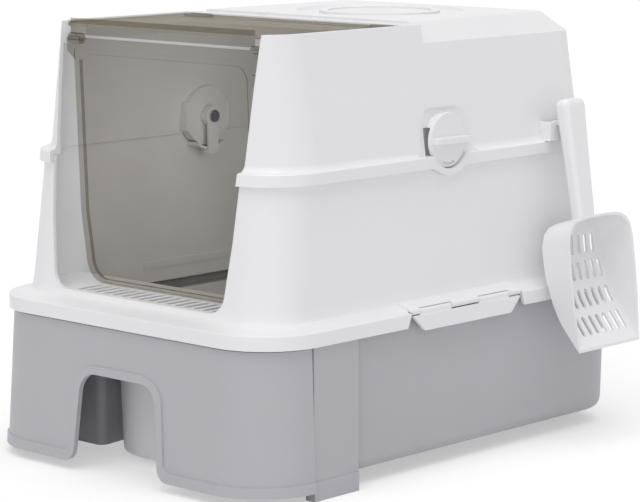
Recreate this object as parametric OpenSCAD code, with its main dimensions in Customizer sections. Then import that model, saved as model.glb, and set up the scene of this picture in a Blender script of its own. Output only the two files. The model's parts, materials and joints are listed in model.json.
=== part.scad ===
// Drawer litter box: a grey base with a sliding drawer, a white lower shell,
// a white hood with a smoke flap door and top lid, and a scoop on a side hook.

/* [Overall] */
// Length of the brim from front to back
brim_l = 480; // [460:1:500]
// Width of the brim
brim_w = 338; // [330:1:350]
// Height of the rear top above the floor
total_h = 368; // [360:1:380]

/* [Walls and gaps] */
// Thickness of the white and grey moulded walls
wall = 3; // [2.5:0.1:3.6]
// Thickness of the smoke panels
smoke_t = 2.4; // [2:0.1:3]
// Gap between pieces that move past each other
gap = 0.5; // [0.4:0.1:0.8]
// Gap between a piece and the seat that carries it
seat = 0.3; // [0.2:0.05:0.4]
// Radial running clearance of pins and shafts
pin_fit = 0.06; // [0.03:0.01:0.1]
// Radial clearance of pins in the bores that hold them
fixed_fit = 0.02; // [0.01:0.01:0.03]

/* [Base] */
// How far each side panel stands inside the brim
base_in = 9; // [6:0.5:12]
// How far the rear panel stands inside the brim
base_rear_in = 9; // [5:0.5:16]
// Height of the side panels' lower edge above the floor
base_clear = 13; // [8:1:20]
// Distance from the brim's front edge to the front legs
leg_front_in = 55.5; // [53:0.5:60]
// Length of the front legs' outer face, front to back
leg_l = 52; // [40:1:60]
// Distance from the centre to the front legs' inner edge
leg_in = 99.5; // [99:0.5:110]
// Height of the legs' inner parts, below the pan's shoulders
leg_in_h = 75; // [60:1:76]
// How far the legs' outer faces stand out from the side panels
leg_out = 6; // [4:0.5:8]
// Height of the ledge that carries the drawer
ledge_z = 100; // [96:1:101]

/* [Drawer] */
// Height of the drawer front's lower edge above the floor
drawer_clear = 8; // [5:1:12]
// Half width of the hand arch at its foot
arch_foot = 50; // [44:1:56]
// Half width of the hand arch at its top
arch_top = 43.5; // [38:0.5:48]
// Height of the hand arch's top above the floor
arch_h = 84; // [70:1:90]
// Width of the raised bead round the arch
bead_w = 7; // [5:0.5:12]
// How far the raised bead stands out
bead_t = 1.6; // [1:0.1:2.5]
// Half width of the pan's deep well
well_w = 95; // [85:1:96]
// Distance from the brim's front edge to the pan's deep well
well_front_in = 50; // [40:1:60]
// Height of the pan's floor above the ground
pan_clear = 4.5; // [3:0.5:8]
// Thickness of the pan
pan_t = 2.5; // [2:0.1:3]

/* [Lower shell] */
// Height of the brim skirt's lower edge
brim_z = 124.5; // [124:0.5:126]
// Height of the brim skirt
skirt_h = 12; // [10:0.5:14]
// Width of the brim's ledge on each side of the lower shell
side_ledge = 18.5; // [17:0.5:21]
// Width of the brim's ledge in front of the lower shell, at the sill
front_ledge = 20.5; // [18:0.5:24]
// Width of the brim's ledge behind the lower shell
rear_ledge = 36; // [32:1:42]
// Height of the sill of the front opening
sill_z = 146; // [144:1:150]
// Pitch of the slots in the entry grille
slot_pitch = 10.6; // [8:0.1:12]
// Width of one grille slot
slot_w = 5.2; // [3:0.1:6]
// Number of slots in the entry grille
slot_n = 16; // [11:1:18]

/* [Hood] */
// Height of the lower edge of the hood's band
band_z = 249; // [244:1:254]
// Height of the hood's band
band_h = 10; // [8:0.5:12]
// How far the band stands out from the lower shell
band_out = 4.6; // [4:0.1:6]
// How much narrower the hood is than the lower shell, just above the band
hood_in = 9; // [5:1:13]
// How much the hood narrows from the band to the rear chamfer
hood_taper = 25; // [20:1:32]
// How much narrower the rear top plate is than the hood at the chamfer
plate_in = 31; // [23:1:41]
// Height of the rear chamfer
chamfer_h = 17; // [12:1:20]
// Distance behind the centre at which the chamfered rear part begins, towards the front
crease_y = 19; // [15:1:26]
// Radius of the dished ring on the rear top
dish_r = 74; // [60:1:78]

/* [Knobs] */
// Distance of the knobs' axis towards the front from the centre
knob_y = 3; // [-5:1:10]
// Height of the knobs' axis above the band's lower edge
knob_up = 22; // [20:0.5:24]
// Radius of the knobs
knob_r = 23; // [20:0.5:24]
// Radius of the knobs' shafts
shaft_r = 4; // [3:0.1:5]

/* [Flap and lid] */
// Width of the flap door
flap_w = 207; // [200:1:210]
// Distance of the flap's hinge axis below the rear top
flap_down = 16; // [14:0.5:18]
// Distance of the flap's hinge axis behind the sill's front
flap_in = 35.5; // [33:0.5:36.5]
// Lean of the flap panel
flap_lean = 2.4; // [2:0.1:4]
// Radius of the flap's hinge pins
flap_pin_r = 2; // [1.5:0.1:2.5]
// Distance of the lid's hinge axis from the centre, towards the front
lid_hinge_y = 37.8; // [34:0.2:42]

/* [Latches and scoop] */
// Length of a side latch at its top
latch_l = 142; // [120:1:150]
// Height that a side latch hangs below its hinge axis
latch_drop = 16.5; // [15:0.5:20]
// Width of the scoop's bowl at its rim
scoop_w = 93; // [80:1:100]
// Length of the scoop's bowl
scoop_l = 115; // [100:1:125]
// Depth of the scoop's bowl at the handle
scoop_d = 34; // [28:1:38]
// Length of the scoop's handle
handle_l = 105; // [80:1:110]

/* [Hidden] */
$fn = 48;

white = [0.93, 0.93, 0.94];
grey = [0.68, 0.68, 0.70];
smoke = [0.42, 0.40, 0.35, 0.55];
steel = [0.75, 0.76, 0.78];
eps = 0.01;
corner_n = 10;
// Reach of cuts that go past the whole model
far = 400;

// The bounding box includes the scoop, so its centre is off the body's middle plane
bbox_dx = 20.3;
bbox_dy = -2.9;

brim_a = brim_w / 2;
brim_b = brim_l / 2;
brim_r = 56;
base_a = brim_a - base_in;
base_rear = brim_b - base_rear_in;
leg_front = brim_b - leg_front_in;
well_front = brim_b - well_front_in;
shell_w = brim_w - 2 * side_ledge;
shell_front = brim_b - front_ledge;
shell_rear = brim_b - rear_ledge;
hood_w = shell_w - hood_in;
hood_top_w = hood_w - hood_taper;
plate_w = hood_top_w - plate_in;
knob_z = band_z + knob_up;
flap_z = total_h - flap_down;
flap_y = shell_front - flap_in;
skirt_top = brim_z + skirt_h;
flange_under = skirt_top + 0.5;
base_top = flange_under - fixed_fit;
leg_a = base_a + leg_out;

/* ---------- shared shapes ---------- */

function lerp(a, b, t) = a + (b - a) * t;

// A quarter arc of an outline, as n + 1 points
function arc(cx, cy, r, start, n) =
    [for (i = [0:n]) [cx + r * cos(start + 90 * i / n), cy + r * sin(start + 90 * i / n)]];

// A ring is [height, half width, front, rear, front corner radius, rear corner radius]
function outline(s) = concat(
    arc(s[1] - s[4], s[4] - s[2], s[4], -90, corner_n),
    arc(s[1] - s[5], s[3] - s[5], s[5], 0, corner_n),
    arc(s[5] - s[1], s[3] - s[5], s[5], 90, corner_n),
    arc(s[4] - s[1], s[4] - s[2], s[4], 180, corner_n));

function grow(s, g) = [s[0], s[1] + g, s[2] + g, s[3] + g, max(1, s[4] + g), max(1, s[5] + g)];
function at_z(s, z) = [z, s[1], s[2], s[3], s[4], s[5]];
function between(s, t, z) =
    let (k = (z - s[0]) / (t[0] - s[0]))
    [z, lerp(s[1], t[1], k), lerp(s[2], t[2], k), lerp(s[3], t[3], k),
     lerp(s[4], t[4], k), lerp(s[5], t[5], k)];

// A closed skin over a stack of rings, from the lowest to the highest
module loft(rings) {
    m = 4 * (corner_n + 1);
    k = len(rings);
    points = [for (s = rings) for (p = outline(s)) [p[0], p[1], s[0]]];
    sides = [for (i = [0:k - 2]) for (j = [0:m - 1])
        let (a = i * m + j, b = i * m + (j + 1) % m, c = b + m, d = a + m)
        each [[a, d, c], [a, c, b]]];
    bottom = [[for (j = [0:m - 1]) j]];
    top = [[for (j = [0:m - 1]) k * m - 1 - j]];
    polyhedron(points, concat(bottom, sides, top));
}

// An outline with its corners rounded by arcs of the given radii
function rounded(pts, radii) = [for (i = [0:len(pts) - 1])
    let (p = pts[i],
         u = pts[(i + len(pts) - 1) % len(pts)] - p,
         v = pts[(i + 1) % len(pts)] - p,
         un = u / norm(u), vn = v / norm(v), r = radii[i],
         half = acos(max(-1, min(1, un * vn))) / 2,
         mid = (un + vn) / norm(un + vn),
         c = p + mid * r / sin(half),
         a0 = atan2((p + un * r / tan(half) - c)[1], (p + un * r / tan(half) - c)[0]),
         a1 = atan2((p + vn * r / tan(half) - c)[1], (p + vn * r / tan(half) - c)[0]),
         turn = (a1 - a0 > 180) ? a1 - a0 - 360 : (a1 - a0 < -180) ? a1 - a0 + 360 : a1 - a0)
    each (r < 0.05 ? [p] : [for (k = [0:8]) c + r * [cos(a0 + turn * k / 8), sin(a0 + turn * k / 8)]])];

// A profile in the XZ plane, extruded along Y from y0 to y1
module along_y(y0, y1) {
    translate([0, y1, 0])
        rotate([90, 0, 0])
            linear_extrude(y1 - y0)
                children();
}

// A profile in the YZ plane, extruded along X from x0 to x1
module along_x(x0, x1) {
    translate([x0, 0, 0])
        rotate([90, 0, 90])
            linear_extrude(x1 - x0)
                children();
}

module box(lo, hi) {
    translate(lo)
        cube(hi - lo);
}

module rod_x(x0, x1, y, z, r) {
    translate([x0, y, z])
        rotate([0, 90, 0])
            cylinder(h = x1 - x0, r = r);
}

module rod_y(y0, y1, x, z, r) {
    translate([x, y1, z])
        rotate([90, 0, 0])
            cylinder(h = y1 - y0, r = r);
}

module mirrored() {
    children();
    mirror([1, 0, 0])
        children();
}

// Moves the model so that the bounding box stands centred on the origin
module placed() {
    translate([-bbox_dx, -bbox_dy, 0])
        children();
}

/* ---------- rings ---------- */

base_low = [base_clear, base_a - 1.5, base_rear, base_rear - 1.5, 46, 46];
base_high = [base_top, base_a + 0.5, base_rear, base_rear + 0.5, 47, 47];

drawer_r = 55;
drawer_top_z = brim_z - 2.5 * gap;
drawer_high = [drawer_top_z, brim_a - 4, brim_b - 2.6, base_rear, drawer_r, drawer_r];
drawer_low = [drawer_clear, brim_a - 0.2, brim_b + 4.2, base_rear, drawer_r + 2, drawer_r + 2];
drawer_seam = leg_front + 2 * gap;
foot_band_h = 8.5;

shell_low = [sill_z, shell_w / 2, shell_front, shell_rear, 40, 34];
shell_high = [band_z, shell_w / 2 - 3.5, shell_front - 10, shell_rear - 5, 43, 32];
function shell_at(z, g) = grow(between(shell_low, shell_high, z), g);
shell_top = band_z + band_h - 3.5;

hood_base_z = band_z + band_h + 3;
hood_top_z = total_h - 2;
chamfer_z = total_h - chamfer_h;
hood_low = [hood_base_z, hood_w / 2, shell_front - 12.3, shell_rear - 7, 52, 30];
hood_high = [chamfer_z, hood_top_w / 2, shell_front - 19, shell_rear - 14.5, 40, 24];
hood_lean = atan2((hood_w - hood_top_w) / 2, chamfer_z - hood_base_z);
function hood_side(z) = lerp(hood_w, hood_top_w, (z - hood_base_z) / (chamfer_z - hood_base_z)) / 2;
function hood_at(z, g) = grow(between(hood_low, hood_high, z), g);

/* ---------- base ---------- */

function leg_plan() = rounded(
    [[base_a - 3, leg_l - leg_front], [leg_in + 5, leg_l - leg_front], [leg_in, 17 - leg_front],
     [base_a - 16, 17 - leg_front], [base_a - 10, 9 - leg_front], [base_a - 3, -leg_front]],
    [0, 4, 7, 3, 3, 0]);

module base_wall() {
    bottom_r = 12;
    difference() {
        loft([grow(at_z(base_low, base_clear), -bottom_r * 0.45),
              grow(at_z(base_low, base_clear + 2), -bottom_r * 0.2),
              grow(at_z(base_low, base_clear + 5), -bottom_r * 0.06),
              at_z(base_low, base_clear + 9), base_high]);
        loft([grow(at_z(base_low, base_clear - 1), -bottom_r * 0.45 - wall),
              grow(at_z(base_low, base_clear + 2), -bottom_r * 0.2 - wall),
              grow(at_z(base_low, base_clear + 5), -bottom_r * 0.06 - wall),
              grow(at_z(base_low, base_clear + 9), -wall), grow(at_z(base_high, base_top + 1), -wall)]);
        box([-far, -far, -1], [far, leg_l - leg_front - 2, far]);
    }
}

module base_leg() {
    // Outer post, level with the side of the drawer front
    box([base_a - 2.4, -leg_front, 0], [leg_a, leg_l - leg_front, brim_z - gap]);
    box([base_a - 2.4, -leg_front, brim_z - gap - 1], [base_a + 2, leg_l - leg_front, base_top]);
    // Foot band
    box([leg_a - 1, -leg_front, 0], [leg_a + 0.8, leg_l - leg_front, base_clear + 3]);
    // Hollow inner part behind the hand arch
    difference() {
        linear_extrude(leg_in_h)
            polygon(leg_plan());
        translate([0, 0, -1])
            linear_extrude(leg_in_h - wall + 1)
                offset(delta = -wall)
                    polygon(leg_plan());
        box([leg_in + 14, leg_l - leg_front - wall - 1, -1],
            [base_a - 16, leg_l - leg_front + 1, leg_in_h - 12]);
    }
    // Rib inside the hollow
    box([leg_in + 11, 17 - leg_front + 1, 3], [leg_in + 14, leg_l - leg_front - 1, leg_in_h - 1]);
}

module base_ledge() {
    ledge_in = base_a - wall - 6;
    box([ledge_in, -leg_front, ledge_z - 4], [base_a - wall + 1.2, base_rear - 44, ledge_z]);
}

module base_rear_foot() {
    foot_x = 66;
    foot_w = 44;
    foot_front = base_rear - 38;
    difference() {
        box([foot_x, foot_front, 0], [foot_x + foot_w, base_rear - 2.5, base_clear + 30]);
        box([foot_x + wall, foot_front + wall, -1],
            [foot_x + foot_w - wall, base_rear - 2.5 - wall, base_clear + 30 - wall]);
    }
}

module base_latch_rib() {
    rib_l = 30;
    box([base_a - 1, -rib_l, brim_z], [base_a + 2.8, rib_l, brim_z + 2.4]);
}

module base_frame() {
    color(grey) {
        base_wall();
        mirrored() {
            base_leg();
            base_ledge();
            base_rear_foot();
            base_latch_rib();
        }
    }
}

/* ---------- drawer ---------- */

function arch_outline() = rounded(
    [[-120, -20], [-120, drawer_clear], [-arch_foot - 0.5, drawer_clear], [-arch_top, arch_h],
     [arch_top, arch_h], [arch_foot + 0.5, drawer_clear], [120, drawer_clear], [120, -20]],
    [0, 0, 12, 18, 18, 12, 0, 0]);

function bead_outline() = rounded(
    [[-arch_foot - bead_w - 0.5, -20], [-arch_foot - bead_w, drawer_clear + 6],
     [-arch_top - bead_w, arch_h + bead_w], [arch_top + bead_w, arch_h + bead_w],
     [arch_foot + bead_w, drawer_clear + 6], [arch_foot + bead_w + 0.5, -20]],
    [0, 0, 25, 25, 0, 0]);

// Bead round the arch joined to the foot band with small fillets
module bead_profile() {
    offset(r = -8)
        offset(r = 8) {
            polygon(bead_outline());
            translate([-far, -20])
                square([2 * far, drawer_clear + foot_band_h + 20]);
        }
}

module drawer_skin(g) {
    loft([grow(drawer_low, g), grow(drawer_high, g)]);
}

module drawer_front() {
    color(grey)
        difference() {
            union() {
                drawer_skin(0);
                intersection() {
                    drawer_skin(bead_t);
                    union() {
                        along_y(-far, -200)
                            bead_profile();
                        box([-far, -far, 0], [far, 0, drawer_clear + foot_band_h]);
                    }
                }
            }
            loft([grow(at_z(drawer_low, drawer_clear - 1), -wall),
                  grow(at_z(drawer_high, drawer_top_z + 1), -wall)]);
            box([-far, -drawer_seam, -1], [far, far, far]);
            along_y(-far, -150)
                polygon(arch_outline());
        }
    color(grey)
        drawer_bosses();
}

frame_z = ledge_z + seat;
frame_h = 11.7;
boss_x = 112;
boss_z = frame_z + frame_h / 2;
frame_front = brim_b - 16;

module drawer_bosses() {
    mirrored()
        difference() {
            intersection() {
                union() {
                    rod_y(-brim_b, -frame_front, boss_x, boss_z, 5);
                    // Rib that stiffens the top edge
                    box([30, -brim_b, frame_z + 1], [boss_x, -frame_front, frame_z + 3.5]);
                }
                drawer_skin(-1);
            }
            rod_y(-brim_b + 8, -frame_front + 1, boss_x, boss_z, 1.5 + fixed_fit);
        }
}

rail_out = base_a - wall - 1;
rail_w = 7;
screw_head = 2.6;
rail_in = rail_out - rail_w;
frame_rear = base_rear - 13;

function frame_ring(g) = [0, rail_out + g, frame_front + g, frame_rear + g, 48 + g, 40 + g];

module drawer_frame() {
    color(grey)
        difference() {
            translate([0, 0, frame_z])
                linear_extrude(frame_h)
                    difference() {
                        polygon(outline(frame_ring(0)));
                        polygon(outline(frame_ring(-rail_w)));
                    }
            mirrored() {
                rod_y(-frame_front - 1, -frame_front + rail_w + 1, boss_x, boss_z, 1.5 + fixed_fit);
                rod_y(-frame_front + rail_w - screw_head, -frame_front + rail_w + 1, boss_x, boss_z, 3.6);
            }
        }
}

module drawer_screws() {
    color(steel)
        mirrored() {
            rod_y(-brim_b + 9, -frame_front + rail_w - 1, boss_x, boss_z, 1.5);
            rod_y(-frame_front + rail_w - screw_head, -frame_front + rail_w - 0.4, boss_x, boss_z, 3.4);
        }
}

pan_top = frame_z + frame_h + seat;
pan_flange_t = 2.4;
pan_a = rail_in - gap;
shoulder_z = leg_in_h + 5;

function pan_rings(g) = [
    grow([pan_clear, well_w - 3, well_front - 3, base_rear - 50, 67, 30], -g),
    grow([shoulder_z, well_w, well_front, base_rear - 47, 70, 30], -g),
    grow([frame_z, pan_a - 1, frame_front - rail_w - gap - 1, frame_rear - rail_w - gap - 1, 40, 32], -g),
    grow([pan_top + pan_flange_t, pan_a, frame_front - rail_w - gap, frame_rear - rail_w - gap, 41, 33], -g)];

module litter_pan() {
    outer = pan_rings(0);
    inner = pan_rings(pan_t);
    color(white)
        difference() {
            union() {
                loft(outer);
                loft([at_z(grow(frame_ring(0), -1), pan_top),
                      at_z(grow(frame_ring(0), -1), pan_top + pan_flange_t)]);
            }
            loft([at_z(inner[0], pan_clear + pan_t), at_z(inner[1], shoulder_z + pan_t * 0.8),
                  at_z(inner[2], frame_z + 1), at_z(inner[3], pan_top + pan_flange_t + 1)]);
        }
}

/* ---------- lower shell ---------- */

opening_low = flap_w / 2 - 5;
opening_mid = flap_w / 2 + 2.5;
opening_high = flap_w / 2 + 5.5;
opening_top = flap_w / 2 + 13;

// Front opening through the lower shell and the hood, seen from the front
function opening_outline() = rounded(
    [[-opening_low, sill_z], [opening_low, sill_z], [opening_mid, sill_z + 58],
     [opening_high, band_z], [opening_high + 1, band_z + band_h], [opening_top, total_h],
     [opening_top, total_h + 20], [-opening_top, total_h + 20], [-opening_top, total_h],
     [-opening_high - 1, band_z + band_h], [-opening_high, band_z], [-opening_mid, sill_z + 58]],
    [16, 16, 60, 0, 0, 0, 0, 0, 0, 0, 0, 60]);

floor_t = 3;
floor_z = sill_z - 1 - floor_t;
floor_rear = shell_front - 71.5;
grille_front = shell_front - wall - 2;
grille_rear = grille_front - 38.5;
grille_w = slot_n * slot_pitch + 12;

module latch_housing(y0, y1) {
    along_y(y0, y1)
        polygon(rounded([[base_a + 0.2 - 6, flange_under], [latch_x + 2.4, flange_under],
                         [latch_x + 2.4, skirt_top + 2.5], [base_a - 4, skirt_top + 6.5],
                         [base_a - 14, skirt_top + 6.5], [base_a - 14, flange_under]],
                        [0, 0, 2, 3, 0, 0]));
}

latch_x = brim_a - 2.6;
latch_z = skirt_top + 0.2;
knuckle_r = 2.4;
latch_pin_r = 1.2;
knuckle_a = [-60, -21];
knuckle_b = [15, 54];

module shell_outer() {
    wall_foot = shell_at(sill_z + 4, 0);
    loft([[brim_z, brim_a, brim_b, brim_b, brim_r, brim_r],
          [skirt_top - 0.6, brim_a, brim_b, brim_b, brim_r, brim_r],
          [skirt_top, brim_a - 0.7, brim_b - 0.7, brim_b - 0.7, brim_r - 0.7, brim_r - 0.7],
          [skirt_top + 2.2, brim_a - 8, brim_b - 8, brim_b - 12, brim_r - 8, brim_r - 8],
          [skirt_top + 2.4, brim_a - 9.5, brim_b - 9.5, brim_b - 20, brim_r - 9, brim_r - 9],
          grow(at_z(wall_foot, skirt_top + 3.4), 6),
          grow(at_z(wall_foot, skirt_top + 5), 3),
          grow(at_z(wall_foot, skirt_top + 8), 1.1),
          shell_at(sill_z + 6, 0),
          shell_at(band_z, 0),
          shell_at(shell_top, 0)]);
}

module shell_inner() {
    // Room under the brim
    difference() {
        loft([[brim_z - 1, brim_a - wall, brim_b - wall, brim_b - wall, brim_r - wall, brim_r - wall],
              [flange_under, brim_a - wall, brim_b - wall, brim_b - wall, brim_r - wall, brim_r - wall]]);
        // Inner skirt that leads litter into the pan
        loft([at_z(shell_at(sill_z, -1), pan_top + pan_flange_t + 4),
              at_z(shell_at(sill_z, -1), flange_under + 1)]);
    }
    // Cabin above the floor and the way down to the pan
    loft([at_z(shell_at(sill_z, -wall - 1), brim_z - 2),
          shell_at(sill_z, -wall),
          shell_at(band_z, -wall),
          shell_at(shell_top + 1, -wall)]);
}

module shell_floor() {
    intersection() {
        box([-far, -shell_front, floor_z], [far, -floor_rear, floor_z + floor_t]);
        loft([at_z(shell_at(sill_z, -wall + 0.5), floor_z - 1),
              at_z(shell_at(sill_z, -wall + 0.5), floor_z + floor_t + 1)]);
    }
    // Turned-down rear edge of the floor
    box([-shell_w / 2 + wall, -floor_rear - wall, floor_z - 8],
        [shell_w / 2 - wall, -floor_rear, floor_z + 1]);
}

module knob_notch(r) {
    mirrored()
        rod_x(base_a - 40, base_a + 20, -knob_y, knob_z, r);
}

cup_low_r = knob_r + 3.6;
dip_r = knob_r + 6.2;
lug_r = cup_low_r + 1.4;
lug_t = 2.4;

module cam_lug() {
    // Arc under the knob cup that the locking cam hooks beneath
    intersection() {
        difference() {
            rod_x(cam_x - 3 + cam_t + gap, shell_w / 2 - wall - 1.2, -knob_y, knob_z, lug_r + lug_t);
            rod_x(cam_x - 2, shell_w / 2, -knob_y, knob_z, lug_r);
        }
        box([0, -knob_y - 16, knob_z - lug_r - lug_t - 1], [far, -knob_y + 16, knob_z - lug_r + 5]);
    }
}

module lower_shell() {
    color(white) {
        difference() {
            union() {
                difference() {
                    shell_outer();
                    shell_inner();
                }
                mirrored()
                    latch_housing(-latch_l / 2 - 1, latch_l / 2 + 1);
                shell_floor();
                // Rim that backs the sill
                intersection() {
                    shell_outer();
                    box([-opening_low, -shell_front - 2, flange_under],
                        [opening_low, -shell_front + 6, sill_z]);
                }
            }
            along_y(-far, -floor_rear - 27)
                polygon(opening_outline());
            // Seat of the entry grille
            box([-grille_w / 2 - gap / 2, -grille_front - gap / 2, floor_z + 1.2],
                [grille_w / 2 + gap / 2, -grille_rear + gap / 2, sill_z + 5]);
            box([-grille_w / 2 + 4, -grille_front + 4, floor_z - 2],
                [grille_w / 2 - 4, -grille_rear - 4, sill_z + 5]);
            knob_notch(cup_low_r + 0.6);
            latch_cuts();
        }
        mirrored() {
            cam_lug();
            shell_knuckles();
        }
    }
}

// Knuckles under the brim, between and beside those of the side latches
module shell_knuckles() {
    difference() {
        for (k = [[-latch_l / 2 + 1, knuckle_a[0] - gap], [knuckle_a[1] + gap, knuckle_b[0] - gap],
                  [knuckle_b[1] + gap, latch_l / 2 - 1]])
            rod_y(k[0], k[1], latch_x, latch_z, knuckle_r);
        rod_y(-latch_l / 2 - 2, latch_l / 2 + 2, latch_x, latch_z, latch_pin_r + pin_fit);
    }
}

// Gaps in the brim for the side latches and the bores of their hinge pins
module latch_cuts() {
    mirrored() {
        for (k = [knuckle_a, knuckle_b])
            box([latch_x - knuckle_r - gap, k[0] - gap, flange_under - 8],
                [brim_a + 4, k[1] + gap, latch_z + knuckle_r + gap]);
        along_x(brim_a - wall - 2.2, brim_a + 4)
            polygon([[-latch_l / 2 - gap, flange_under], [-latch_l / 2 - gap, flange_under - 2.5],
                     [-latch_l / 2 - gap - 5, brim_z - 1], [latch_l / 2 + gap + 5, brim_z - 1],
                     [latch_l / 2 + gap, flange_under - 2.5], [latch_l / 2 + gap, flange_under]]);
        rod_y(-latch_l / 2 - 2, latch_l / 2 + 2, latch_x, latch_z, latch_pin_r + pin_fit);
    }
}

module entry_grille() {
    slot_l = grille_front - grille_rear - 10;
    top = sill_z - 1;
    color(white)
        difference() {
            box([-grille_w / 2 + gap / 2, -grille_front + gap / 2, floor_z + 1.2],
                [grille_w / 2 - gap / 2, -grille_rear - gap / 2, top]);
            for (i = [0:slot_n - 1])
                translate([(i - (slot_n - 1) / 2) * slot_pitch, -grille_front + 5 + slot_w / 2, floor_z - 1])
                    grille_slot(slot_l - slot_w);
        }
}

module grille_slot(l) {
    linear_extrude(10) {
        translate([-slot_w / 2, 0])
            square([slot_w, l]);
        circle(d = slot_w);
        translate([0, l])
            circle(d = slot_w);
    }
}

/* ---------- side latches ---------- */

module latch() {
    plate_in = latch_x - 0.2;
    bottom_z = latch_z - latch_drop;
    difference() {
        union() {
            along_x(plate_in, brim_a + 0.4)
                polygon(rounded([[-latch_l / 2 + 16, bottom_z], [latch_l / 2 - 14, bottom_z],
                                 [latch_l / 2 - 1.2, latch_z - 3], [-latch_l / 2 + 1.2, latch_z - 3]],
                                [3, 3, 1, 1]));
            for (k = [knuckle_a, knuckle_b]) {
                rod_y(k[0], k[1], latch_x, latch_z, knuckle_r);
                box([plate_in, k[0], latch_z - 3.5], [latch_x + knuckle_r, k[1], latch_z]);
            }
            // Hook that catches under the base's rib
            box([base_a + 0.8, -28, brim_z - 3.1], [plate_in + 0.5, 28, brim_z - seat]);
        }
        rod_y(-latch_l, latch_l, latch_x, latch_z, latch_pin_r + pin_fit);
    }
}

module latch_pin() {
    rod_y(-latch_l / 2 + 4, latch_l / 2 - 4, latch_x, latch_z, latch_pin_r);
}

module latch_right() {
    color(white)
        latch();
}

module latch_left() {
    color(white)
        mirror([1, 0, 0])
            latch();
}

module latch_pin_right() {
    color(steel)
        latch_pin();
}

module latch_pin_left() {
    color(steel)
        mirror([1, 0, 0])
            latch_pin();
}

/* ---------- hood ---------- */

cup_floor = hood_w / 2 - 5.3;
knob_face = hood_w / 2 + 3;
knob_back = knob_face - 3.2;
cup_deep = cup_floor - 3.7;
cup_in = cup_deep - wall;
cam_x = cup_in - 4.4;
cam_t = 2.4;

band_top = band_z + band_h;

// The hood's skin where it rises from the band
function band_fillet(g) = [shell_at(band_top, band_out - 0.8 + g), hood_at(band_top + 0.6, 3 + g),
                           hood_at(band_top + 2.4, 1.2 + g), hood_at(band_top + 6, g)];

module hood_outer() {
    difference() {
        union() {
            loft(concat([shell_at(band_z, band_out), shell_at(band_top - 0.8, band_out)],
                        band_fillet(0), [hood_at(hood_top_z, 0)]));
            rear_crown();
        }
        // The rear part above the chamfer is shaped by the crown alone
        difference() {
            box([-far, -crease_y, chamfer_z], [far, far, total_h + 5]);
            rear_crown();
        }
    }
}

module rear_crown() {
    intersection() {
        loft([hood_at(chamfer_z - 5, 0), hood_at(chamfer_z, 0),
              [total_h - 1, plate_w / 2 + 1, lid_front - 12, shell_rear - 36, 14, 16],
              [total_h, plate_w / 2 - 0.5, lid_front - 12, shell_rear - 37.5, 13, 15]]);
        box([-far, -crease_y, chamfer_z - 5], [far, far, total_h + 5]);
    }
}

module hood_inner() {
    // Pocket that takes the lower shell's upper edge
    loft([shell_at(band_z - 1, seat), shell_at(shell_top + seat, seat)]);
    loft([hood_at(shell_top, -wall - 1), hood_at(band_top + 6, -wall), hood_at(chamfer_z - 3, -wall),
          [hood_top_z - wall, plate_w / 2 - 1, lid_front - 16, shell_rear - 36 - wall, 14, 14]]);
}

slot_a = knob_r + 1.4;
slot_top = knob_z + 11;
arch_a = knob_r + 5.5;
arch_up = knob_r + 2;
arch_t = 1.6;

// Outline of the arch, seen along the wall's normal from the knob's axis
module arch_plan(g) {
    polygon(rounded([[-knob_y - arch_a - g, -knob_up], [-knob_y + arch_a + g, -knob_up],
                     [-knob_y + arch_a + g, arch_up + g / 2], [-knob_y - arch_a - g, arch_up + g / 2]],
                    [0, 0, 16 + g / 2, 16 + g / 2]));
}

// Hollow boss behind each knob: round, with a block behind the slot
module knob_cup() {
    intersection() {
        union() {
            rod_x(cup_in, hood_w / 2 + 4, -knob_y, knob_z, cup_low_r);
            box([cup_in, -knob_y - slot_a - wall + 0.5, shell_top + seat],
                [hood_w / 2 + 4, -knob_y + slot_a + wall - 0.5, slot_top + 2]);
        }
        hood_solid();
    }
    rod_x(cup_in, hood_w / 2 + 2, -knob_y, knob_z, cup_low_r);
}

lid_front = shell_front - 27.5;
lid_a = plate_w / 2 + 8;
lid_r = 30;
lid_z = total_h - 5.6;
lid_rear = lid_hinge_y - 1.8;

function lid_ring(z, g) = [z, lid_a + g, lid_front + g, -lid_rear + g, lid_r + g, max(2, 4 + g)];

// The recess round the lid has nearly sharp rear corners, so the lid's corners clear them as it opens
function lid_seat_ring(z) = [z, lid_a + gap, lid_front + gap, gap - lid_rear, lid_r + gap, 1];

module dish() {
    dish_y = 78;
    translate([0, dish_y, 0]) {
        translate([0, 0, total_h - 2.4])
            difference() {
                cylinder(h = 5, r1 = dish_r - 2.4, r2 = dish_r + 2.6);
                translate([0, 0, -1])
                    cylinder(h = 7, r = dish_r * 0.72);
            }
        translate([0, 0, total_h - 1.2])
            cylinder(h = 5, r = dish_r * 0.62);
    }
}

module hood() {
    color(white) {
        difference() {
            union() {
                difference() {
                    hood_outer();
                    hood_inner();
                }
                mirrored() {
                    knob_cup();
                    flap_boss();
                }
                hood_header();
                band_dip();
            }
            along_y(-far, 8 - flap_y)
                polygon(opening_outline());
            // Opening under the lid, with a ledge all round
            loft([lid_ring(chamfer_z - 8, -14), lid_ring(total_h + 3, -14)]);
            loft([lid_seat_ring(lid_z - seat), lid_seat_ring(total_h + 3)]);
            lid_lip_notch();
            dish();
            mirrored() {
                knob_recess();
                rod_x(cup_in - 6, hood_w, -knob_y, knob_z, shaft_r + pin_fit);
                rod_x(opening_low, opening_top + 6, -flap_y, flap_z, flap_pin_r + fixed_fit);
                rod_x(lid_a - 20, lid_a + 3, -lid_hinge_y, lid_pin_z, lid_pin_r + fixed_fit);
            }
        }
    }
}

header_front = flap_y - 5.5;

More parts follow.
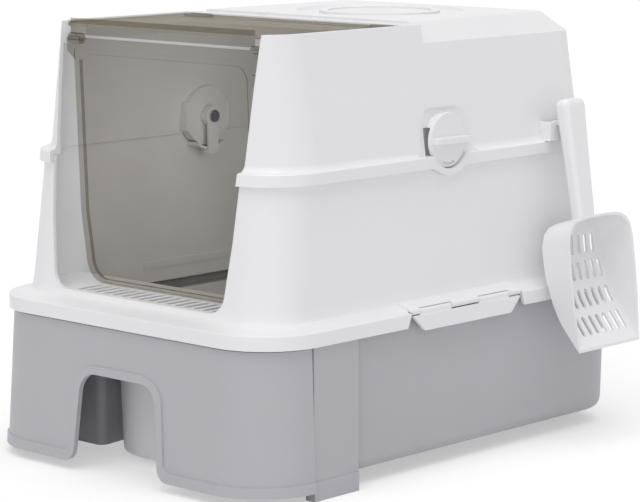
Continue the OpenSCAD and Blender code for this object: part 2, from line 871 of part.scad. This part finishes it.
// Cross bar behind the flap's upper edge and the ledge that carries the lid
module hood_header() {
    intersection() {
        box([-130, -header_front, flap_z + 1.5], [130, 7.5 - header_front, lid_z - seat]);
        hood_solid();
    }
    intersection() {
        difference() {
            loft([lid_ring(lid_z - seat - 3, 3), lid_ring(lid_z - seat, 3)]);
            box([-130, -far, band_z], [130, -header_front, far]);
        }
        hood_solid();
    }
}

module hood_solid() {
    loft([hood_at(band_z + band_h, -1), hood_at(hood_top_z, -1)]);
}

// The band bends down round each knob, with a fillet on either side
module band_dip() {
    mirrored()
        along_x(shell_w / 2 - 3, shell_high[1] + band_out)
            intersection() {
                offset(r = -20)
                    offset(r = 20) {
                        translate([-knob_y, knob_z])
                            circle(r = dip_r);
                        translate([-knob_y - 60, band_z])
                            square([120, band_h]);
                    }
                translate([-knob_y - 55, knob_z - dip_r - 1])
                    square([110, band_z - knob_z + dip_r + 1.5]);
            }
}

module knob_recess() {
    difference() {
        rod_x(cup_floor, hood_w, -knob_y, knob_z, knob_r + 0.7);
        // Pad close behind the upper part of the knob
        intersection() {
            rod_x(cup_floor - 1, knob_back - gap, -knob_y, knob_z, knob_r - 1);
            box([0, -far, slot_top], [far, far, far]);
        }
    }
    // Shallow arch round the knob that slopes into the wall
    difference() {
        translate([hood_side(knob_z), 0, knob_z])
            rotate([0, -hood_lean, 0])
                hull() {
                    along_x(-arch_t - eps, -arch_t)
                        arch_plan(0);
                    along_x(arch_t, 12)
                        arch_plan(9);
                }
        box([0, -far, 0], [far, far, band_top]);
        rod_x(cup_floor - 9, knob_back - gap, -knob_y, knob_z, knob_r - 1);
    }
    // Deep slot behind and beside the knob
    box([cup_deep, -knob_y - slot_a, band_top], [hood_w, -knob_y + slot_a, slot_top]);
}

module flap_boss() {
    intersection() {
        rod_x(opening_top - 1, 140, -flap_y, flap_z, 6.5);
        hood_solid();
    }
}

lid_pin_z = lid_z + smoke_t / 2;
lid_pin_r = 1;
lid_barrel_r = 2;
lid_heel_r = norm([lid_hinge_y - lid_rear, smoke_t / 2]) + seat;
lip_a = lid_a - 16;

// Room for the raised finger lip, the rear edge and the hinge barrels of the lid
module lid_lip_notch() {
    rod_x(-lid_a - gap, lid_a + gap, -lid_hinge_y, lid_pin_z, lid_heel_r);
    box([-lip_a - gap, -far, lid_z - 2], [lip_a + gap, -lid_front + 8, total_h + 5]);
    mirrored()
        rod_x(lid_a - 32 - gap, lid_a - 8 + gap, -lid_hinge_y, lid_pin_z, lid_barrel_r + gap);
}

module top_lid() {
    color(smoke)
        difference() {
            union() {
                loft([lid_ring(lid_z, 0), lid_ring(lid_z + smoke_t, 0)]);
                // Raised finger lip along the front edge
                intersection() {
                    loft([lid_ring(flap_z + 4, 0), lid_ring(total_h + 1.4, 0)]);
                    box([-lip_a, -lid_front - 1, flap_z + 4], [lip_a, -lid_front + 2.5, total_h + 1.4]);
                }
                mirrored()
                    rod_x(lid_a - 32, lid_a - 8, -lid_hinge_y, lid_pin_z, lid_barrel_r);
            }
            mirrored()
                rod_x(lid_a - 34, lid_a + 1, -lid_hinge_y, lid_pin_z, lid_pin_r + pin_fit);
        }
}

module lid_pins() {
    color(steel)
        mirrored()
            rod_x(lid_a - 31, lid_a + 3, -lid_hinge_y, lid_pin_z, lid_pin_r);
}

/* ---------- flap ---------- */

flap_bottom = sill_z + 0.4;
flap_ahead = 5.5;
ear_a = opening_top - 3.5;
ear_h = 18;

flap_low = opening_low - 1.5;
border_w = 5.2;
border_t = 1;

// The flap's sides run inwards below the opening's widest part, as the opening does
function flap_sides(t, drop, top, r) =
    let (half = flap_w / 2 - t, low = flap_low - t, mid = 60 - drop)
    rounded([[-low, t - drop], [low, t - drop], [half, mid], [half, top], [-half, top], [-half, mid]],
            [r, r, 0, top > 0 ? 0 : 3, top > 0 ? 0 : 3, 0]);

// The area inside the raised border
function flap_window(drop) =
    let (half = flap_w / 2 - border_w, low = flap_low - border_w, mid = 60 - drop)
    rounded([[-low, border_w - drop], [low, border_w - drop], [half, mid], [half, -12], [-half, -12],
             [-half, mid]], [15, 15, 0, 12, 12, 0]);

function ear_outline() = rounded(
    [[flap_w / 2 - 6, 1], [flap_w / 2 - 6, -ear_h], [flap_w / 2, -ear_h], [ear_a, -ear_h + 8], [ear_a, 1]],
    [0, 0, 2, 2, 2]);

module flap_panel() {
    drop = (flap_z - flap_bottom) / cos(flap_lean);
    translate([0, -flap_y - flap_ahead, flap_z])
        rotate([flap_lean, 0, 0]) {
            along_y(0, smoke_t) {
                polygon(flap_sides(0, drop, 1, 20));
                polygon(ear_outline());
                mirror([1, 0])
                    polygon(ear_outline());
            }
            // Turned-back edge along the sides and the bottom
            along_y(0, 6)
                difference() {
                    polygon(flap_sides(0, drop, -ear_h, 20));
                    polygon(flap_sides(smoke_t, drop, 10, 17.6));
                }
            // Raised border on the front
            along_y(-border_t, 1)
                difference() {
                    polygon(flap_sides(0, drop, -8, 20));
                    polygon(flap_window(drop));
                }
        }
}

module flap_door() {
    half = flap_w / 2;
    color(smoke)
        difference() {
            union() {
                flap_panel();
                mirrored() {
                    rod_x(half - 3, ear_a, -flap_y, flap_z, 4.6);
                    box([half - 3, -flap_y - flap_ahead + 1, flap_z - 4.6], [ear_a, -flap_y, flap_z]);
                }
            }
            mirrored()
                rod_x(half - 6, ear_a + 1, -flap_y, flap_z, flap_pin_r + pin_fit);
        }
}

module flap_pins() {
    color(steel)
        mirrored()
            rod_x(half_pin(), opening_top + 6, -flap_y, flap_z, flap_pin_r);
}

function half_pin() = flap_w / 2 - 2;

/* ---------- knobs ---------- */

module knob() {
    face = knob_face;
    difference() {
        union() {
            rod_x(knob_back, face - 1, -knob_y, knob_z, knob_r);
            rod_x(face - 1, face, -knob_y, knob_z, knob_r - 0.4);
            // Grip bar
            intersection() {
                box([face - 1, 1.5 - knob_y - knob_r, knob_z - 2.4],
                    [face + 8, knob_r - knob_y - 1.5, knob_z + 2.4]);
                rod_x(face - 2, face + 10, -knob_y, knob_z, knob_r);
            }
            rod_x(cam_x - 3, knob_back + 1, -knob_y, knob_z, shaft_r);
            rod_x(cup_deep + seat, knob_back + 1, -knob_y, knob_z, shaft_r + 3);
        }
        // Pointer mark near the rim
        intersection() {
            difference() {
                rod_x(face - 1.8, face + 1, -knob_y, knob_z, knob_r - 2.4);
                rod_x(face - 2, face + 2, -knob_y, knob_z, knob_r - 4.2);
            }
            box([face - 2, -knob_y - 7.5, knob_z - knob_r], [face + 2, -knob_y + 7.5, knob_z - 10]);
        }
        rod_x(cam_x - 4, cam_x + 8, -knob_y, knob_z, 1.25 + fixed_fit);
    }
}

module knob_right() {
    color(white)
        knob();
}

module knob_left() {
    color(white)
        mirror([1, 0, 0])
            knob();
}

// Locking cam on the inner end of the knob's shaft
module cam() {
    foot_r = lug_r + lug_t + gap;
    foot_t = 2.8;
    difference() {
        union() {
            rod_x(cam_x - 3, cup_in - seat, -knob_y, knob_z, 9);
            box([cam_x - 3, -knob_y - 6, knob_z - foot_r - foot_t + 1],
                [cam_x - 3 + cam_t, -knob_y + 6, knob_z]);
            intersection() {
                box([cam_x - 3, -knob_y - 6, knob_z - foot_r - 4],
                    [cup_in - gap, -knob_y + 6, knob_z - foot_r + 3]);
                difference() {
                    rod_x(cam_x - 4, cup_in, -knob_y, knob_z, foot_r + foot_t);
                    rod_x(cam_x - 5, cup_in + 1, -knob_y, knob_z, foot_r);
                }
            }
        }
        rod_x(cam_x - 4, cup_floor, -knob_y, knob_z, shaft_r + fixed_fit);
    }
}

module cam_right() {
    color(white)
        cam();
}

module cam_left() {
    color(white)
        mirror([1, 0, 0])
            cam();
}

module cam_screw() {
    rod_x(cam_x - 5, cam_x - 3, -knob_y, knob_z, 5.5);
    rod_x(cam_x - 3, cam_x + 7, -knob_y, knob_z, 1.25);
}

module cam_screw_right() {
    color(steel)
        cam_screw();
}

module cam_screw_left() {
    color(steel)
        mirror([1, 0, 0])
            cam_screw();
}

/* ---------- scoop and its hook ---------- */

// The rim plane's top centre, and the lean of the rim plane away from the hood
scoop_x = shell_w / 2 + 46.5;
scoop_y = 141;
scoop_z = band_z - 50.4;
scoop_lean = 7;
handle_lean = 2.5;
scoop_t = 2.2;

hook_y0 = scoop_y - 17;
hook_y1 = scoop_y + 17;
hook_z0 = band_top;
hook_h = 17;
hook_out = hood_w / 2 + 10.5;
hook_wall = hood_w / 2 - 3.5;
tab_a = 9;
tab_t = 3;

// Open-topped pocket on the side of the hood
module scoop_hook() {
    hook_t = 2.8;
    color(white)
        intersection() {
            difference() {
                along_y(hook_y0, hook_y1)
                    polygon(rounded([[hook_wall, hook_z0], [hook_out, hook_z0], [hook_out, hook_z0 + hook_h],
                                     [hook_wall, hook_z0 + hook_h]], [0, 2, 1, 0]));
                box([hook_wall - 1, hook_y0 + hook_t, hook_z0 + hook_t],
                    [hook_out - hook_t, hook_y1 - hook_t, hook_z0 + hook_h + 1]);
                // Notch that the scoop's tab lies in
                box([hook_out - hook_t - 1, scoop_y - tab_a - gap, hook_z0 + hook_h - tab_t - seat],
                    [hook_out + 1, scoop_y + tab_a + gap, hook_z0 + hook_h + 1]);
            }
            difference() {
                box([0, 0, hook_z0 + seat], [far, far, hook_z0 + hook_h]);
                loft(concat(band_fillet(fixed_fit), [hood_at(hook_z0 + hook_h + 5, fixed_fit)]));
            }
        }
}

module scoop() {
    color(white) {
        translate([scoop_x, scoop_y, scoop_z])
            rotate([0, -scoop_lean, 0]) {
                scoop_bowl();
                scoop_handle();
            }
        scoop_tab();
    }
}

// Rim outline seen from the open side: Y across, Z up from the rim's top
function rim_half(w) = [[w * 0.12, 0], [w * 0.25, -0.6], [w * 0.35, -2.2], [w * 0.42, -6], [w * 0.47, -12],
                        [w * 0.49, -20], [w * 0.497, -32], [w * 0.5, -50], [w * 0.495, -75]];
function both(pts) = concat(pts, [for (i = [len(pts) - 1:-1:0]) [-pts[i][0], pts[i][1]]]);
function rim_outline(t, low) = both(concat([for (p = rim_half(scoop_w)) [max(0.1, p[0] - t), p[1] - t * 0.9]],
                                           [[scoop_w * 0.46 - t, -low]]));
function back_outline(t, low) = both([[16 - t * 0.4, -6 - t], [28 - t * 0.8, -8.5 - t], [35 - t, -14 - t],
                                      [39 - t, -24], [40.5 - t, -60], [scoop_w * 0.455 - t, -low]]);

module scoop_solid(t, low) {
    hull() {
        along_x(-eps, 0)
            polygon(rim_outline(t, low));
        along_x(-scoop_d, eps - scoop_d)
            polygon(back_outline(t, low));
    }
}

// Side profile of the bowl: X is the depth behind the rim plane, Y up
function floor_line(g) = [[g - scoop_d, 0], [g - scoop_d, -30], [g - scoop_d + 1.2, -42],
                          [g - scoop_d + 4, -56], [g - scoop_d + 9.5, -73], [g - scoop_d + 18, -90],
                          [g - scoop_d + 27, -105], [g - 0.4, -scoop_l]];

module scoop_profile(g, open) {
    along_y(-60, 60)
        polygon(concat([[g - scoop_d, 5]], floor_line(g),
                       open ? [[12, -scoop_l - 12], [12, 5]] : [[0, -scoop_l], [0, 5]]));
}

module scoop_bowl() {
    difference() {
        intersection() {
            scoop_solid(0, scoop_l);
            scoop_profile(0, false);
        }
        intersection() {
            translate([0.6, 0, 0])
                scoop_solid(scoop_t, scoop_l + 6);
            scoop_profile(scoop_t, true);
        }
        translate([-scoop_d - 4, 0, 0])
            along_x(0, scoop_d + 2)
                offset(r = scoop_slot_w / 2, $fn = 24)
                    for (row = [0:3])
                        scoop_slot_row([26.8, 49.6, 72.9, 95.3][row], row == 0 ? 7 : 8,
                                       [16.4, 16.2, 15.6, 16.2][row] - scoop_slot_w);
    }
}

scoop_slot_w = 4.6;

// Centre lines of one row of slots through the bowl's floor
module scoop_slot_row(v, n, l) {
    for (i = [0:n - 1])
        translate([(i - (n - 1) / 2) * 9.7 - 1 - eps, -v - l / 2])
            square([2 * eps, l]);
}

module scoop_handle() {
    handle_mid = 0.55 * handle_l;
    translate([-17, 0, -4.3])
        rotate([0, -handle_lean, 0]) {
            hull() {
                linear_extrude(eps)
                    handle_plan(12, 21.5, 4);
                translate([0, 0, handle_mid])
                    linear_extrude(eps)
                        handle_plan(13, 25, 4.5);
            }
            hull() {
                translate([0, 0, handle_mid])
                    linear_extrude(eps)
                        handle_plan(13, 25, 4.5);
                translate([0, 0, handle_l - 7])
                    linear_extrude(3)
                        handle_plan(14.5, 29, 5.5);
                translate([0, 0, handle_mid])
                    linear_extrude(handle_l - handle_mid)
                        handle_plan(9.5, 22, 4);
            }
        }
}

module handle_plan(t, w, r) {
    polygon(rounded([[-t / 2, -w / 2], [t / 2, -w / 2], [t / 2, w / 2], [-t / 2, w / 2]], [r, r, r, r]));
}

// Tab on the back of the handle that hangs in the hook
module scoop_tab() {
    tab_in = hook_out - 2.8 - 4;
    tab_z = hook_z0 + hook_h - tab_t;
    box([tab_in, scoop_y - tab_a, tab_z - 9], [tab_in + 3, scoop_y + tab_a, tab_z + tab_t]);
    box([tab_in, scoop_y - tab_a, tab_z], [hook_out + 6, scoop_y + tab_a, tab_z + tab_t]);
}

placed() base_frame();
placed() drawer_front();
placed() drawer_frame();
placed() drawer_screws();
placed() litter_pan();
placed() lower_shell();
placed() entry_grille();
placed() latch_left();
placed() latch_right();
placed() latch_pin_left();
placed() latch_pin_right();
placed() hood();
placed() top_lid();
placed() lid_pins();
placed() flap_door();
placed() flap_pins();
placed() knob_left();
placed() knob_right();
placed() cam_left();
placed() cam_right();
placed() cam_screw_left();
placed() cam_screw_right();
placed() scoop_hook();
placed() scoop();
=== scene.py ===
import json
import math

import bmesh
import bpy
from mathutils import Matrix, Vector


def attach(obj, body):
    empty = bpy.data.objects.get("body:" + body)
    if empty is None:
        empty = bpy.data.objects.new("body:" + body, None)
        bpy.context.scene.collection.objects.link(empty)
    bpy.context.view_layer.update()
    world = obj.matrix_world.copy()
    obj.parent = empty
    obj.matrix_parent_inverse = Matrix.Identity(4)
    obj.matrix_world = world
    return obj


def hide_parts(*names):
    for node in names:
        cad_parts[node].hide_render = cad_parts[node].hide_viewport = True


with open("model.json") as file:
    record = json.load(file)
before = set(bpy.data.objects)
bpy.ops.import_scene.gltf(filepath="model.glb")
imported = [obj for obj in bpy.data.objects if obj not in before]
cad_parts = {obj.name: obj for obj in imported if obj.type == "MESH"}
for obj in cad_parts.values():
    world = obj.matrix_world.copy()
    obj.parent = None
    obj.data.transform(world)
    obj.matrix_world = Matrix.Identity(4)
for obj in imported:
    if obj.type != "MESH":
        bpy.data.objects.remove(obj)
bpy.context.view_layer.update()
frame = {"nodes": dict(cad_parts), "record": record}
scene = bpy.context.scene
NODES = frame["nodes"]

# ---------------------------------------------------------------- materials

PLASTIC_IOR = 1.49
# How far light spreads inside the white plastic, in metres
LIGHT_DEPTH = 0.004
# What each face of the smoke plastic lets through of the light that falls on it
SMOKE_LIGHT = (0.88, 0.87, 0.855)
# The share of light that a face of the smoke plastic mirrors, seen square on and along it
MIRROR_SQUARE = 0.03
MIRROR_ALONG = 0.24


def new_material(name):
    """An empty node material and its output."""
    mat = bpy.data.materials.new(name)
    mat.use_nodes = True
    mat.node_tree.nodes.clear()
    out = mat.node_tree.nodes.new("ShaderNodeOutputMaterial")
    return mat, mat.node_tree, out


def noise(tree, scale, detail=2.0):
    """A noise texture over the piece's own metres, with scale waves to a metre."""
    place = tree.nodes.new("ShaderNodeTexCoord")
    tex = tree.nodes.new("ShaderNodeTexNoise")
    tex.inputs["Scale"].default_value = scale
    tex.inputs["Detail"].default_value = detail
    tree.links.new(place.outputs["Object"], tex.inputs["Vector"])
    return tex.outputs["Fac"]


def remap(tree, value, low, high, start=0.3, end=0.7):
    """Spreads value from start..end, where most noise lies, over low..high."""
    node = tree.nodes.new("ShaderNodeMapRange")
    node.inputs["From Min"].default_value = start
    node.inputs["From Max"].default_value = end
    node.inputs["To Min"].default_value = low
    node.inputs["To Max"].default_value = high
    tree.links.new(value, node.inputs["Value"])
    return node.outputs["Result"]


def blend_colours(tree, value, first, second):
    """first where value is 0, second where it is 1."""
    mix = tree.nodes.new("ShaderNodeMix")
    mix.data_type = "RGBA"
    mix.inputs["A"].default_value = (*first, 1)
    mix.inputs["B"].default_value = (*second, 1)
    tree.links.new(value, mix.inputs["Factor"])
    return mix.outputs["Result"]


def bump(tree, layers):
    """Stacked bumps: (height socket, strength, distance in metres)."""
    last = None
    for height, strength, distance in layers:
        node = tree.nodes.new("ShaderNodeBump")
        node.inputs["Strength"].default_value = strength
        node.inputs["Distance"].default_value = distance
        tree.links.new(height, node.inputs["Height"])
        if last is not None:
            tree.links.new(last, node.inputs["Normal"])
        last = node.outputs["Normal"]
    return last


def moulded_plastic(name, colour, shade, rough, grain, subsurface=0.0):
    """Moulded polypropylene, a little uneven in colour and gloss, with a fine mould grain."""
    mat, tree, out = new_material(name)
    shader = tree.nodes.new("ShaderNodeBsdfPrincipled")
    uneven = remap(tree, noise(tree, 9.0, 3.0), 0.0, 1.0)
    tree.links.new(blend_colours(tree, uneven, colour, shade), shader.inputs["Base Color"])
    tree.links.new(remap(tree, noise(tree, 35.0, 4.0), rough - 0.05, rough + 0.06),
                   shader.inputs["Roughness"])
    grainy = noise(tree, 1400.0, 2.0)
    sunk = noise(tree, 22.0, 1.0)
    tree.links.new(bump(tree, [(sunk, 0.25, 0.0004), (grainy, grain, 0.00006)]),
                   shader.inputs["Normal"])
    shader.inputs["IOR"].default_value = PLASTIC_IOR
    if subsurface:
        shader.inputs["Subsurface Weight"].default_value = subsurface
        shader.inputs["Subsurface Radius"].default_value = (LIGHT_DEPTH, LIGHT_DEPTH, LIGHT_DEPTH)
        shader.inputs["Subsurface Scale"].default_value = 1.0
    tree.links.new(shader.outputs["BSDF"], out.inputs["Surface"])
    return mat


def smoke_plastic(name, through, deep):
    """Clear smoke-tinted styrene: through is its tint seen square on, deep seen along it."""
    mat, tree, out = new_material(name)
    clear = tree.nodes.new("ShaderNodeBsdfTransparent")
    facing = tree.nodes.new("ShaderNodeLayerWeight")
    facing.inputs["Blend"].default_value = 0.5
    uneven = remap(tree, noise(tree, 14.0, 3.0), 0.965, 1.0)
    tint = tree.nodes.new("ShaderNodeVectorMath")
    tint.operation = "SCALE"
    tree.links.new(blend_colours(tree, facing.outputs["Facing"], through, deep), tint.inputs[0])
    tree.links.new(uneven, tint.inputs["Scale"])
    # The tint is for what is seen; light on its way into the box passes less dimmed
    ray = tree.nodes.new("ShaderNodeLightPath")
    passed = tree.nodes.new("ShaderNodeMix")
    passed.data_type = "RGBA"
    passed.inputs["A"].default_value = (*SMOKE_LIGHT, 1)
    tree.links.new(tint.outputs["Vector"], passed.inputs["B"])
    tree.links.new(ray.outputs["Is Camera Ray"], passed.inputs["Factor"])
    tree.links.new(passed.outputs["Result"], clear.inputs["Color"])
    gloss = tree.nodes.new("ShaderNodeBsdfPrincipled")
    gloss.inputs["Base Color"].default_value = (0.05, 0.047, 0.04, 1)
    tree.links.new(remap(tree, noise(tree, 30.0, 3.0), 0.06, 0.12), gloss.inputs["Roughness"])
    tree.links.new(bump(tree, [(noise(tree, 16.0, 1.0), 0.3, 0.0003)]), gloss.inputs["Normal"])
    # The mirror share grows towards grazing, alike from both sides of a face
    power = tree.nodes.new("ShaderNodeMath")
    power.operation = "POWER"
    power.inputs[1].default_value = 5.0
    tree.links.new(facing.outputs["Facing"], power.inputs[0])
    mix = tree.nodes.new("ShaderNodeMixShader")
    share = remap(tree, power.outputs["Value"], MIRROR_SQUARE, MIRROR_ALONG, 0.0, 1.0)
    tree.links.new(share, mix.inputs["Fac"])
    tree.links.new(clear.outputs["BSDF"], mix.inputs[1])
    tree.links.new(gloss.outputs["BSDF"], mix.inputs[2])
    tree.links.new(mix.outputs["Shader"], out.inputs["Surface"])
    return mat


def brushed_steel(name):
    """Plain steel wire and screws, a little uneven in tone and gloss."""
    mat, tree, out = new_material(name)
    shader = tree.nodes.new("ShaderNodeBsdfPrincipled")
    shader.inputs["Metallic"].default_value = 1.0
    uneven = remap(tree, noise(tree, 300.0, 3.0), 0.0, 1.0)
    tree.links.new(blend_colours(tree, uneven, (0.62, 0.63, 0.65), (0.5, 0.5, 0.52)),
                   shader.inputs["Base Color"])
    tree.links.new(remap(tree, noise(tree, 900.0, 2.0), 0.25, 0.4), shader.inputs["Roughness"])
    tree.links.new(shader.outputs["BSDF"], out.inputs["Surface"])
    return mat


WHITE = moulded_plastic("white_pp", (0.835, 0.833, 0.845), (0.815, 0.815, 0.828), 0.36, 0.12, 0.06)
GREY = moulded_plastic("grey_pp", (0.462, 0.46, 0.482), (0.448, 0.447, 0.468), 0.42, 0.3)
SMOKE = smoke_plastic("smoke_ps", (0.84, 0.845, 0.842), (0.70, 0.657, 0.56))
STEEL = brushed_steel("steel")
FINISH = {"white_plastic": WHITE, "grey_plastic": GREY, "smoke_plastic": SMOKE, "steel": STEEL}

# ---------------------------------------------------------------- shapes

BODIES = frame["record"]["behaviour"]["bodies"]
BODY_OF = {node: body for body, nodes in BODIES.items() for node in nodes}
SLOT_OF = {part["node"]: part["material_slot"] for part in frame["record"]["subparts"]}

# Points of the CAD mesh closer than this are one point, in metres
WELD = 2e-5
# Faces that meet at less than this are one face, in degrees
FLAT_TURN = 0.5
# Edges where the surface turns by more than this are rounded, in degrees
SHARP_TURN = 28.0
# Edges that turn by more than this show as a crease in the rounded forms, in degrees
FORM_CREASE = 35
# The same for the nodes that stay as the CAD has them
CAD_CREASE = 30
# How far large faces outweigh small ones in the smooth shading, where 50 is neutral
FACE_WEIGHT = 80
# The end of the scoop's handle is rounder: edges above this height, by this radius, in metres
ROUND_TOPS = {"scoop": (0.28, 0.0022)}
# How far each moulded piece's edges are rounded, in metres
SOFT_EDGES = {"hood": 0.0009, "lower_shell": 0.0007, "base_frame": 0.001, "drawer_front": 0.0006,
              "litter_pan": 0.0008, "entry_grille": 0.0005, "latch_left": 0.0006,
              "latch_right": 0.0006, "knob_left": 0.0006, "knob_right": 0.0006,
              "scoop_hook": 0.0008, "scoop": 0.0006, "flap_door": 0.0006, "top_lid": 0.0007,
              "drawer_frame": 0.0008, "cam_left": 0.0005, "cam_right": 0.0005}


def finish_mesh(mesh, node, crease):
    """Gives a mesh its node's material and a smooth shading with creases."""
    mesh.materials.clear()
    mesh.materials.append(FINISH[SLOT_OF[node]])
    mesh.shade_smooth()
    mesh.set_sharp_from_angle(angle=math.radians(crease))


def round_edges(bm, width, lowest=-1.0, segments=3):
    """Rounds the sharp edges that lie above the height lowest."""
    sharp = [e for e in bm.edges
             if e.is_manifold and e.calc_face_angle(0.0) > math.radians(SHARP_TURN)
             and min(v.co.z for v in e.verts) > lowest]
    bmesh.ops.bevel(bm, geom=sharp, offset=width, offset_type="OFFSET", segments=segments,
                    profile=0.5, affect="EDGES", clamp_overlap=True, harden_normals=False,
                    miter_outer="ARC", spread=width)


def soften(node, width):
    """Replaces a node by its own form with rounded edges, as a moulded part has them."""
    bm = bmesh.new()
    bm.from_mesh(NODES[node].data)
    bmesh.ops.remove_doubles(bm, verts=bm.verts, dist=WELD)
    bmesh.ops.dissolve_degenerate(bm, edges=bm.edges, dist=WELD)
    bmesh.ops.dissolve_limit(bm, angle_limit=math.radians(FLAT_TURN), verts=bm.verts,
                             edges=bm.edges)
    if node in ROUND_TOPS:
        height, radius = ROUND_TOPS[node]
        round_edges(bm, radius, lowest=height, segments=4)
    round_edges(bm, width)
    mesh = bpy.data.meshes.new(node + "_form")
    bm.to_mesh(mesh)
    bm.free()
    finish_mesh(mesh, node, FORM_CREASE)
    obj = bpy.data.objects.new(node + "_form", mesh)
    scene.collection.objects.link(obj)
    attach(obj, BODY_OF[node])
    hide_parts(node)
    weighted = obj.modifiers.new("normals", "WEIGHTED_NORMAL")
    weighted.keep_sharp = True
    weighted.weight = FACE_WEIGHT


for node, width in SOFT_EDGES.items():
    soften(node, width)

for node, obj in NODES.items():
    finish_mesh(obj.data, node, CAD_CREASE)

# ---------------------------------------------------------------- stage, light and camera

FLOOR_RADIUS = 30.0
# The floor's own glow where it is seen, on which the object's shadow lies
FLOOR_LIFT = 0.45
# How strongly the white surroundings light the object; they look full white themselves
WORLD_LIGHT = 0.515


def looked_at(tree):
    """1 for a ray that shows a surface in the picture or a mirror, 0 for one that only lights."""
    ray = tree.nodes.new("ShaderNodeLightPath")
    total = ray.outputs["Is Camera Ray"]
    for kind in ("Is Glossy Ray", "Is Transmission Ray"):
        add = tree.nodes.new("ShaderNodeMath")
        add.use_clamp = True
        tree.links.new(total, add.inputs[0])
        tree.links.new(ray.outputs[kind], add.inputs[1])
        total = add.outputs["Value"]
    return total


def floor_material():
    """Pale floor that is seen as white paper, with the object's shadow on it."""
    mat, tree, out = new_material("paper")
    paper = tree.nodes.new("ShaderNodeBsdfDiffuse")
    paper.inputs["Color"].default_value = (0.84, 0.84, 0.85, 1)
    seen = tree.nodes.new("ShaderNodeBsdfDiffuse")
    seen.inputs["Color"].default_value = (0.6, 0.6, 0.603, 1)
    lift = tree.nodes.new("ShaderNodeEmission")
    lift.inputs["Color"].default_value = (1, 1, 1, 1)
    lift.inputs["Strength"].default_value = FLOOR_LIFT
    both = tree.nodes.new("ShaderNodeAddShader")
    mix = tree.nodes.new("ShaderNodeMixShader")
    tree.links.new(seen.outputs["BSDF"], both.inputs[0])
    tree.links.new(lift.outputs["Emission"], both.inputs[1])
    tree.links.new(looked_at(tree), mix.inputs["Fac"])
    tree.links.new(paper.outputs["BSDF"], mix.inputs[1])
    tree.links.new(both.outputs["Shader"], mix.inputs[2])
    tree.links.new(mix.outputs["Shader"], out.inputs["Surface"])
    return mat


floor_mesh = bpy.data.meshes.new("floor")
bm = bmesh.new()
bmesh.ops.create_circle(bm, cap_ends=True, radius=FLOOR_RADIUS, segments=64)
bm.to_mesh(floor_mesh)
bm.free()
floor = bpy.data.objects.new("floor", floor_mesh)
floor_mesh.materials.append(floor_material())
scene.collection.objects.link(floor)

world = bpy.data.worlds.new("studio")
scene.world = world
world.use_nodes = True
tree = world.node_tree
tree.nodes.clear()
sky = tree.nodes.new("ShaderNodeBackground")
sky.inputs["Color"].default_value = (1, 1, 1, 1)
seen = tree.nodes.new("ShaderNodeMapRange")
seen.inputs["To Min"].default_value = WORLD_LIGHT
seen.inputs["To Max"].default_value = 1.0
tree.links.new(looked_at(tree), seen.inputs["Value"])
tree.links.new(seen.outputs["Result"], sky.inputs["Strength"])
world_out = tree.nodes.new("ShaderNodeOutputWorld")
tree.links.new(sky.outputs["Background"], world_out.inputs["Surface"])


def aim(name, data, towards, mirrored):
    """Puts a lamp in the scene, shining along the vector towards."""
    obj = bpy.data.objects.new(name, data)
    obj.rotation_mode = "QUATERNION"
    obj.rotation_quaternion = Vector(towards).to_track_quat("-Z", "Y")
    obj.visible_glossy = mirrored
    scene.collection.objects.link(obj)
    return obj


def sun(name, towards, strength, spread, mirrored=True):
    """Soft parallel light, which shows in reflections if it is mirrored."""
    data = bpy.data.lights.new(name, "SUN")
    data.energy = strength
    data.angle = math.radians(spread)
    aim(name, data, towards, mirrored)


def panel(name, place, towards, size, power, spread):
    """Soft square lamp that neither the camera nor a reflection sees."""
    data = bpy.data.lights.new(name, "AREA")
    data.size = size
    data.energy = power
    data.spread = math.radians(spread)
    obj = aim(name, data, towards, mirrored=False)
    obj.location = place
    obj.visible_camera = False


sun("key", (-0.15, 0.4, -0.85), 0.92, 50)
sun("top", (-0.15, -0.1, -1.0), 0.5, 40)
# Low light from the camera's side: mirrored, it would burn out the flat top seen from behind
sun("fill", (-0.64, 0.75, -0.12), 0.54, 30, mirrored=False)
# The real hood lets some daylight through its thin walls; this lamp stands in for it
panel("inside", (0.07, -0.03, 0.27), (-1.0, 0.0, -0.1), 0.18, 0.085, 110)

# The camera that the photograph's edges were solved for: metres, degrees and pixels
CAMERA_PLACE = (1.50927, -1.64362, 0.51724)
CAMERA_AZIMUTH = 42.8756
CAMERA_PITCH = 8.9976
FOCAL_PIXELS = 2606.26
IMAGE_WIDTH = 640
SENSOR_WIDTH = 36.0
camera_data = bpy.data.cameras.new("camera")
camera_data.sensor_width = SENSOR_WIDTH
camera_data.lens = SENSOR_WIDTH * FOCAL_PIXELS / IMAGE_WIDTH
camera_data.clip_start = 0.05
camera_data.clip_end = 100.0
camera = bpy.data.objects.new("camera", camera_data)
camera.location = CAMERA_PLACE
camera.rotation_euler = (math.radians(90 - CAMERA_PITCH), 0.0, math.radians(CAMERA_AZIMUTH))
scene.collection.objects.link(camera)
scene.camera = camera
scene.view_settings.view_transform = "Standard"
